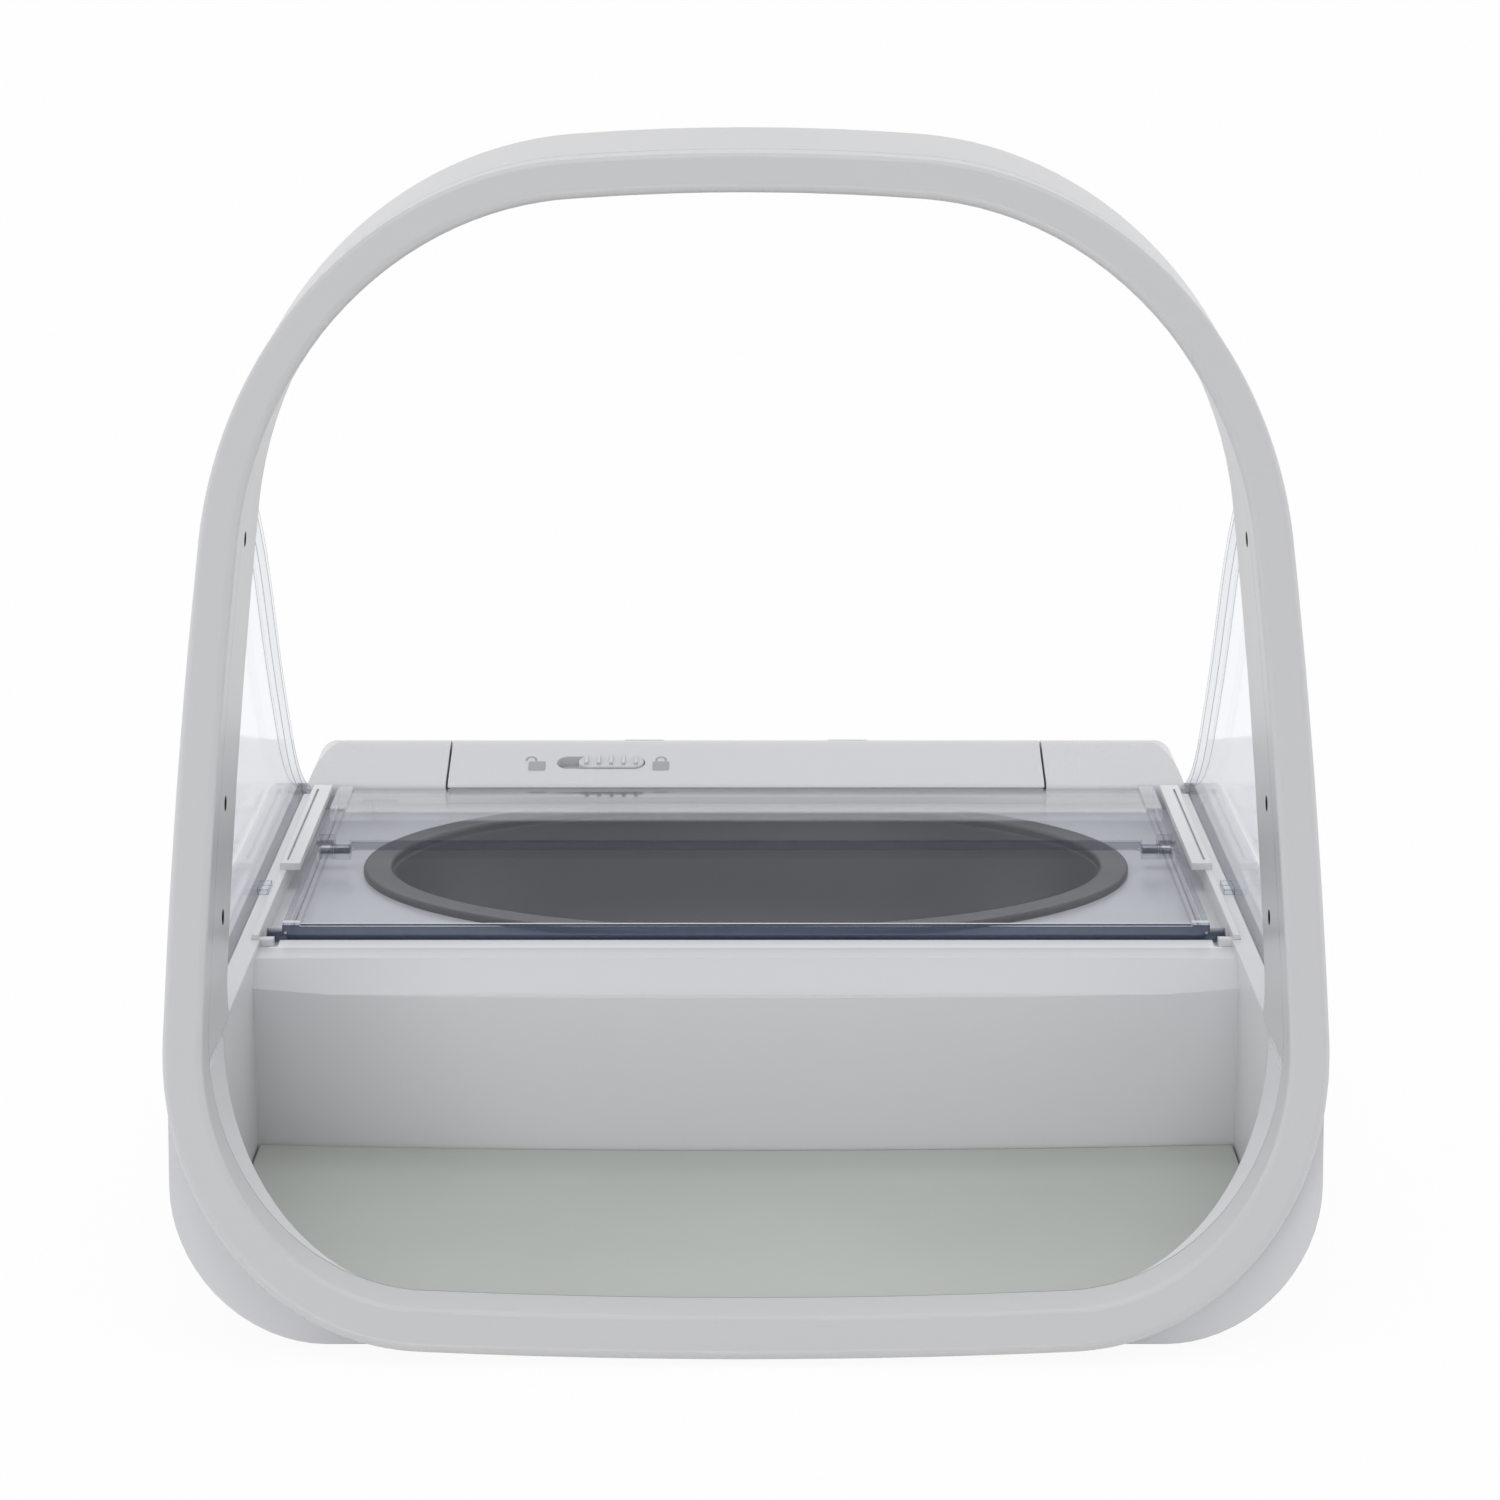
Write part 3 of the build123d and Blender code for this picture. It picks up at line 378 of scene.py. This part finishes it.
# ---------------------------------------------------------------- side screens
# Clear wings between the hoop and the hinge bar, moulded in one piece each
# with a folded rim, slid into a groove in the deck.
def clear_plastic(name, flat_axis, look, polished=None, thick_until=None):
    """Clear moulded sheet: see-through and glossy, with bluish lines at its edges.

    Past the Y given as polished a strip of the sheet is more mirror-like. Up
    to the Y given as thick_until its cut faces are darker, and a painted
    highlight lies along the upper edge there.
    """
    sheet = Finish(name)
    facing = sheet.node("LayerWeight", {}, {"Blend": 0.5}, out=1)
    gleam = look["gleam"]
    if polished is not None:
        gleam = gleam + ((sheet.along(1) - polished) * 400.0).clamp() * 1.7
    shine = (0.01 + facing**5.0 * gleam).clamp()
    cut = (1.3 - abs(sheet.along(flat_axis, 1)) * 1.5).clamp() * look["cut"]
    if thick_until is not None:
        cut = cut * (1.0 + (sheet.along(1) < thick_until) * 1.9)
    soft = sheet.node("Bevel", {"samples": 8}, {"Radius": 0.0005})
    hard = sheet.node("NewGeometry", out=1)
    match = sheet.node("VectorMath", {"operation": "DOT_PRODUCT"}, {0: soft, 1: hard}, out=1)
    line = ((1.0 - match) * 3.0).clamp() * look["line"]
    ripple = sheet.noise(60.0, 2.0)
    dark = tuple(c * 0.8 for c in look["rim"][:3]) + (1.0,)
    paint = sheet.blend(ripple, dark, look["rim"])
    share = (cut + line).clamp()
    # Painted highlight: a pale line along the upper edge of the thick front lip.
    if thick_until is not None:
        near = (sheet.along(1) > thick_until - 0.0014) * (sheet.along(1) < thick_until)
        painted_glint = near * (sheet.along(2, 1) > 0.7)
        paint = sheet.blend(painted_glint, paint, (0.8, 0.84, 0.88, 1.0))
        share = (share + painted_glint * 0.8).clamp()
    relief = sheet.bump(ripple, 0.12, 0.0004)
    through = sheet.node("BsdfTransparent", {}, {"Color": look["tint"]})
    gloss = {"Color": (0.96, 0.98, 1.0, 1.0), "Roughness": 0.05 + ripple * 0.03, "Normal": relief}
    face = sheet.node("MixShader", {}, {0: shine, 1: through, 2: sheet.node("BsdfGlossy", {}, gloss)})
    core = {"Base Color": paint, "Roughness": 0.12 + ripple * 0.1}
    body = sheet.node("BsdfPrincipled", {}, core)
    return sheet.close(sheet.node("MixShader", {}, {0: share, 1: face, 2: body}))


screen_look = {
    "tint": (0.975, 0.98, 0.99, 1.0),
    "rim": (0.14, 0.17, 0.27, 1.0),
    "gleam": 0.6,
    "cut": 0.06,
    "line": 0.95,
}
dress(clear_plastic("screen_clear", 0, screen_look), "side_screen_left", "side_screen_right")

# ---------------------------------------------------------------- feeding mat
# A soft grey-green rubber mat laid in the tray, wiped clean, with a fine
# stippled face and slightly paler and darker areas.
mat_finish = moulded("mat_rubber", (0.55, 0.58, 0.54, 1.0), 0.62, 2600.0, 0.00006, 0.06)
dress(mat_finish, "feeding_mat")

# ---------------------------------------------------------------- bowl
# The lift-out oval bowl in dark grey plastic, its broad lip resting on the
# deck round the well. Smooth inside, faintly scuffed.
bowl_finish = moulded("bowl_grey", (0.085, 0.083, 0.088, 1.0), 0.38, 2400.0, 0.00001, 0.08, 0.0008)
dress(bowl_finish, "bowl")

# ---------------------------------------------------------------- guide rails
# White rails screwed into the deck on both sides, in which the front pins of
# the lid run. A raised strip with a fine slit covers their back half.
dress(white, "guide_rail_left", "guide_rail_right")

# ---------------------------------------------------------------- hinge bar
# The white bar across the back: a turning middle that carries the lid, end
# caps fixed to the base, and the small lock slider with its two lock signs.
bar_white = moulded("bar_white", (0.63, 0.63, 0.645, 1.0), 0.28, 5200.0, 0.000012)
dress(bar_white, "hinge_barrel", "end_cap_left", "end_cap_right", "lock_slider")

print_grey = moulded("print_grey", (0.38, 0.38, 0.40, 1.0), 0.5, 4000.0, 0.0, 0.05, 0.0)


def upper_face(mesh):
    """The bar's broad upper face: the largest one that looks up and forwards."""
    slanted = [f for f in mesh.polygons if f.normal.z > 0.8 and f.normal.y < -0.1]
    return max(slanted, key=lambda f: f.area)


def lock_sign(name, centre_x, width, height, swing):
    """A printed padlock sign on the bar: a body and a hoop, shifted when open."""
    face = upper_face(nodes["hinge_barrel"].data)
    low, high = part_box("lock_slider")
    up = Vector((0.0, face.normal.z, -face.normal.y)).normalized()
    foot = Vector(face.center)
    middle = (Vector(low) + Vector(high)) / 2
    centre = foot + up * (middle - foot).dot(up)
    centre.x = centre_x
    centre += face.normal * 0.00004
    sign = bmesh.new()
    body_height = height * 0.56

    def corner(x, y):
        return sign.verts.new(centre + Vector((x, 0.0, 0.0)) + up * y)

    turn = width * 0.12
    ring = []
    for cx, cy, start in ((1, 1, 0), (-1, 1, 90), (-1, -1, 180), (1, -1, 270)):
        for step in range(5):
            a = math.radians(start + 22.5 * step)
            x = cx * (width / 2 - turn) + turn * math.cos(a)
            y = cy * (body_height / 2 - turn) + turn * math.sin(a) - height * 0.22
            ring.append(corner(x, y))
    sign.faces.new(ring)
    outer = width * 0.34
    inner = outer - width * 0.15
    hoop_y = body_height / 2 - height * 0.22
    leg = height * 0.12
    arch = [(outer, 0.0), (outer, leg)]
    arch += [(outer * math.cos(math.radians(a)), leg + outer * math.sin(math.radians(a))) for a in range(20, 161, 20)]
    arch += [(-outer, leg), (-outer, 0.0)]
    share = inner / outer
    for (x0, y0), (x1, y1) in zip(arch, arch[1:]):
        pair = [(x0, y0), (x1, y1), (x1 * share, leg + (y1 - leg) * share), (x0 * share, leg + (y0 - leg) * share)]
        sign.faces.new([corner(x + swing, hoop_y + max(y, 0.0)) for x, y in pair])
    mesh = bpy.data.meshes.new(name)
    sign.to_mesh(mesh)
    sign.free()
    mesh.materials.append(print_grey)
    piece = bpy.data.objects.new(name, mesh)
    bpy.context.scene.collection.objects.link(piece)
    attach(piece, "lid_drive")
    return piece


knob_low, knob_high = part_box("lock_slider")
knob_x = (knob_low[0] + knob_high[0]) / 2
lock_sign("sign_unlocked", knob_x - 0.018, 0.0042, 0.0076, -0.0015)
lock_sign("sign_locked", knob_x + 0.0121, 0.0041, 0.0074, 0.0)

# ---------------------------------------------------------------- lid
# Two clear panels hinged in the middle, with raised side borders and a thick
# front lip, on a steel rod and front pins.
lid_look = {
    "tint": (0.925, 0.93, 0.945, 1.0),
    "rim": (0.04, 0.06, 0.12, 1.0),
    "gleam": 0.12,
    "cut": 0.3,
    "line": 0.35,
}
gloss_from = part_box("hinge_barrel")[0][1] - 0.023
lip_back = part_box("front_lid_panel")[0][1] + 0.004
dress(clear_plastic("lid_front_clear", 2, lid_look, thick_until=lip_back), "front_lid_panel")
lid_look["cut"] = 0.12
lid_look["line"] = 0.25
dress(clear_plastic("lid_rear_clear", 2, lid_look, polished=gloss_from), "rear_lid_panel")


# ---------------------------------------------------------------- drive
# The motor, its gearbox, the shaft in its bushes, and the nylon pinion and
# toothed sector that swing the lid.
def metal(name, colour, rough, stretch, grain=900.0):
    """Bare metal with fine drawn lines and small changes of gloss."""
    skin = Finish(name)
    lines = skin.noise(grain, 3.0, 0.6, stretch)
    patch = skin.noise(40.0, 2.0)
    dark = tuple(c * 0.82 for c in colour[:3]) + (1.0,)
    surface = {
        "Base Color": skin.blend(patch, dark, colour),
        "Metallic": 1.0,
        "Roughness": rough - 0.08 + lines * 0.16,
        "Normal": skin.bump(lines, 0.25, 0.00003, 0.0003),
    }
    return skin.close(skin.node("BsdfPrincipled", {}, surface))


steel = metal("drawn_steel", (0.6, 0.6, 0.62, 1.0), 0.3, (0.1, 1.0, 1.0))
zinc = metal("cast_zinc", (0.52, 0.52, 0.53, 1.0), 0.45, 1.0, 500.0)
bronze = metal("bronze", (0.5, 0.33, 0.14, 1.0), 0.35, (0.2, 1.0, 1.0))
nylon = moulded("nylon", (0.78, 0.76, 0.68, 1.0), 0.45, 2500.0, 0.00002, 0.03)
dress(steel, "drive_shaft", "lid_hinge_rod", "motor", "board_screws", "base_screws", "battery_contacts")
dress(zinc, "gearbox")
dress(bronze, "shaft_bushes")
dress(nylon, "sector_gear", "drive_pinion")

# ---------------------------------------------------------------- board and cells
# The green circuit board with its black chips and switches, and four jacketed
# cells in a row across the back.
board = Finish("green_board")
weave = board.node(
    "TexBrick",
    {"offset": 0.5, "squash": 1.0},
    {"Vector": board.place(), "Scale": 190.0, "Mortar Size": 0.035, "Mortar Smooth": 0.2},
    out=1,
)
tracks = board.node("TexVoronoi", {"feature": "DISTANCE_TO_EDGE"}, {"Vector": board.place(), "Scale": 260.0})
traced = ((tracks < 0.05) + weave * 0.5).clamp()
board_look = {
    "Base Color": board.blend(traced, (0.012, 0.1, 0.035, 1.0), (0.05, 0.25, 0.09, 1.0)),
    "Roughness": 0.34 - traced * 0.1,
    "Normal": board.bump(traced, 0.4, 0.00006),
    "Coat Weight": 0.4,
}
dress(board.close(board.node("BsdfPrincipled", {}, board_look)), "circuit_board")

chip = moulded("chip_black", (0.02, 0.02, 0.02, 1.0), 0.5, 3000.0, 0.00003)
dress(chip, "board_chips", "board_switches")

jacket = Finish("cell_jacket")
cell_low, cell_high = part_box("battery_cells")
pitch = (cell_high[0] - cell_low[0] + 0.0018) / 4
cell_turn = (jacket.along(0) - cell_low[0]) / pitch
share = jacket.node("Math", {"operation": "FRACT"}, {0: cell_turn})
bare = ((share < 0.035) + (share > 0.93)).clamp()
band = ((share > 0.66) * (share < 0.93)).clamp()
paint = jacket.blend(band, (0.045, 0.05, 0.06, 1.0), (0.5, 0.26, 0.08, 1.0))
jacket_look = {
    "Base Color": jacket.blend(bare, paint, (0.6, 0.6, 0.6, 1.0)),
    "Metallic": bare * 0.9 + band * 0.5,
    "Roughness": 0.26 + jacket.noise(300.0) * 0.1,
}
dress(jacket.close(jacket.node("BsdfPrincipled", {}, jacket_look)), "battery_cells")

# ---------------------------------------------------------------- underside
# The white bottom cover with two battery covers, held by screws in deep
# holes, on four grey rubber feet.
rubber = moulded("foot_rubber", (0.07, 0.07, 0.072, 1.0), 0.8, 1500.0, 0.00006, 0.1)
dress(white, "bottom_cover", "battery_cover_left", "battery_cover_right")
dress(rubber, "rubber_feet")

# ---------------------------------------------------------------- buttons
# Two round push buttons on the sloping back, in grey plastic.
grey = moulded("button_grey", (0.3, 0.31, 0.33, 1.0), 0.45)
dress(grey, "learn_button", "open_button")
